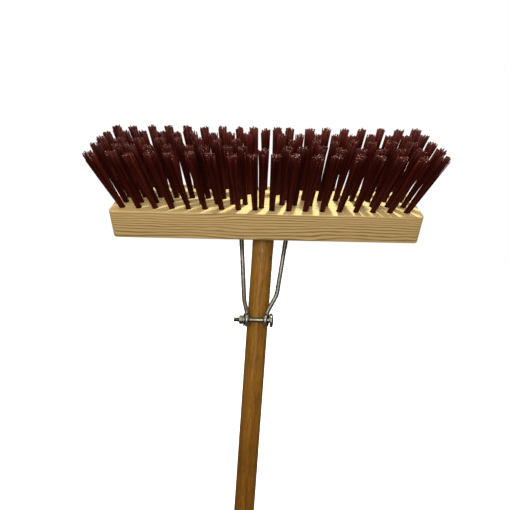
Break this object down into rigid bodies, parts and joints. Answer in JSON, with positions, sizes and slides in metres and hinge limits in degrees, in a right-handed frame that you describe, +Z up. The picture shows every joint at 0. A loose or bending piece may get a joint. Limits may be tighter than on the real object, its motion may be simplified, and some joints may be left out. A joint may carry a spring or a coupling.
{
  "type": "push broom",
  "caption": "Push broom: pale wooden block with flared rows of stiff dark bristle tufts, a tilted round wooden handle and a bolted wire brace.",
  "frame": {"origin": "centre of the flat lower end of the handle", "axes": "+Z up along the handle to the broom head; +X along the block, apart from the head's 2.8 degree skew; -Y is the side of the clamp bolt, which the bristle face looks towards"},
  "size_m": [0.4369, 0.1591, 1.6448],
  "materials": {
    "handle_wood": "brown stained hardwood, thin satin varnish, fine lengthwise streaks",
    "block_wood": "bare planed softwood, darker growth lines along its length",
    "bristle": "coarse maroon synthetic filament, satin, paler red at the cut ends",
    "steel_wire": "dull galvanised steel wire",
    "zinc_hardware": "zinc-plated steel, slightly dulled"
  },
  "bodies": {
    "handle": {"handle": "handle_wood"},
    "head": {"block": "block_wood", "tufts_row1_01": "bristle", "tufts_row1_02": "bristle", "tufts_row1_03": "bristle", "tufts_row1_04": "bristle", "tufts_row1_05": "bristle", "tufts_row1_06": "bristle", "tufts_row1_07": "bristle", "tufts_row1_08": "bristle", "tufts_row1_09": "bristle", "tufts_row2_01": "bristle", "tufts_row2_02": "bristle", "tufts_row2_03": "bristle", "tufts_row2_04": "bristle", "tufts_row2_05": "bristle", "tufts_row2_06": "bristle", "tufts_row2_07": "bristle", "tufts_row2_08": "bristle", "tufts_row2_09": "bristle", "tufts_row2_10": "bristle", "tufts_row2_11": "bristle", "tufts_row3_01": "bristle", "tufts_row3_02": "bristle", "tufts_row3_03": "bristle", "tufts_row3_04": "bristle", "tufts_row3_05": "bristle", "tufts_row3_06": "bristle", "tufts_row3_07": "bristle", "tufts_row3_08": "bristle", "tufts_row4_01": "bristle", "tufts_row4_02": "bristle", "tufts_row4_03": "bristle", "tufts_row4_04": "bristle", "tufts_row4_05": "bristle", "tufts_row4_06": "bristle", "tufts_row4_07": "bristle", "tufts_row4_08": "bristle", "tufts_row4_09": "bristle", "tufts_row4_10": "bristle", "tufts_row4_11": "bristle", "tufts_row5_01": "bristle", "tufts_row5_02": "bristle", "tufts_row5_03": "bristle", "tufts_row5_04": "bristle", "tufts_row5_05": "bristle", "tufts_row5_06": "bristle", "tufts_row5_07": "bristle", "tufts_row5_08": "bristle", "tufts_row5_09": "bristle", "tufts_row5_10": "bristle", "brace": "steel_wire", "clamp_bolt": "zinc_hardware", "foot_screw_left": "zinc_hardware", "foot_screw_right": "zinc_hardware"},
    "washer": {"clamp_washer": "zinc_hardware"},
    "nut": {"clamp_nut": "zinc_hardware"}
  },
  "joints": [
    {"name": "head_pull", "type": "slide", "parent": "handle", "child": "head", "axis": [0, 0, 1], "range_m": [0, 0.18]},
    {"name": "nut_travel", "type": "slide", "parent": "head", "child": "washer", "axis": [-0.9988, 0, -0.0489], "range_m": [0, 0.0077]},
    {"name": "nut_turn", "type": "hinge", "parent": "washer", "child": "nut", "pos_m": [-0.0015, -0.0206, 1.3626], "axis": [-0.9988, 0, -0.0489], "range_deg": [0, 2160]}
  ],
  "couplings": [
    {"joint": "nut_travel", "follows": "nut_turn", "m_per_rad": 0.00020213}
  ]
}
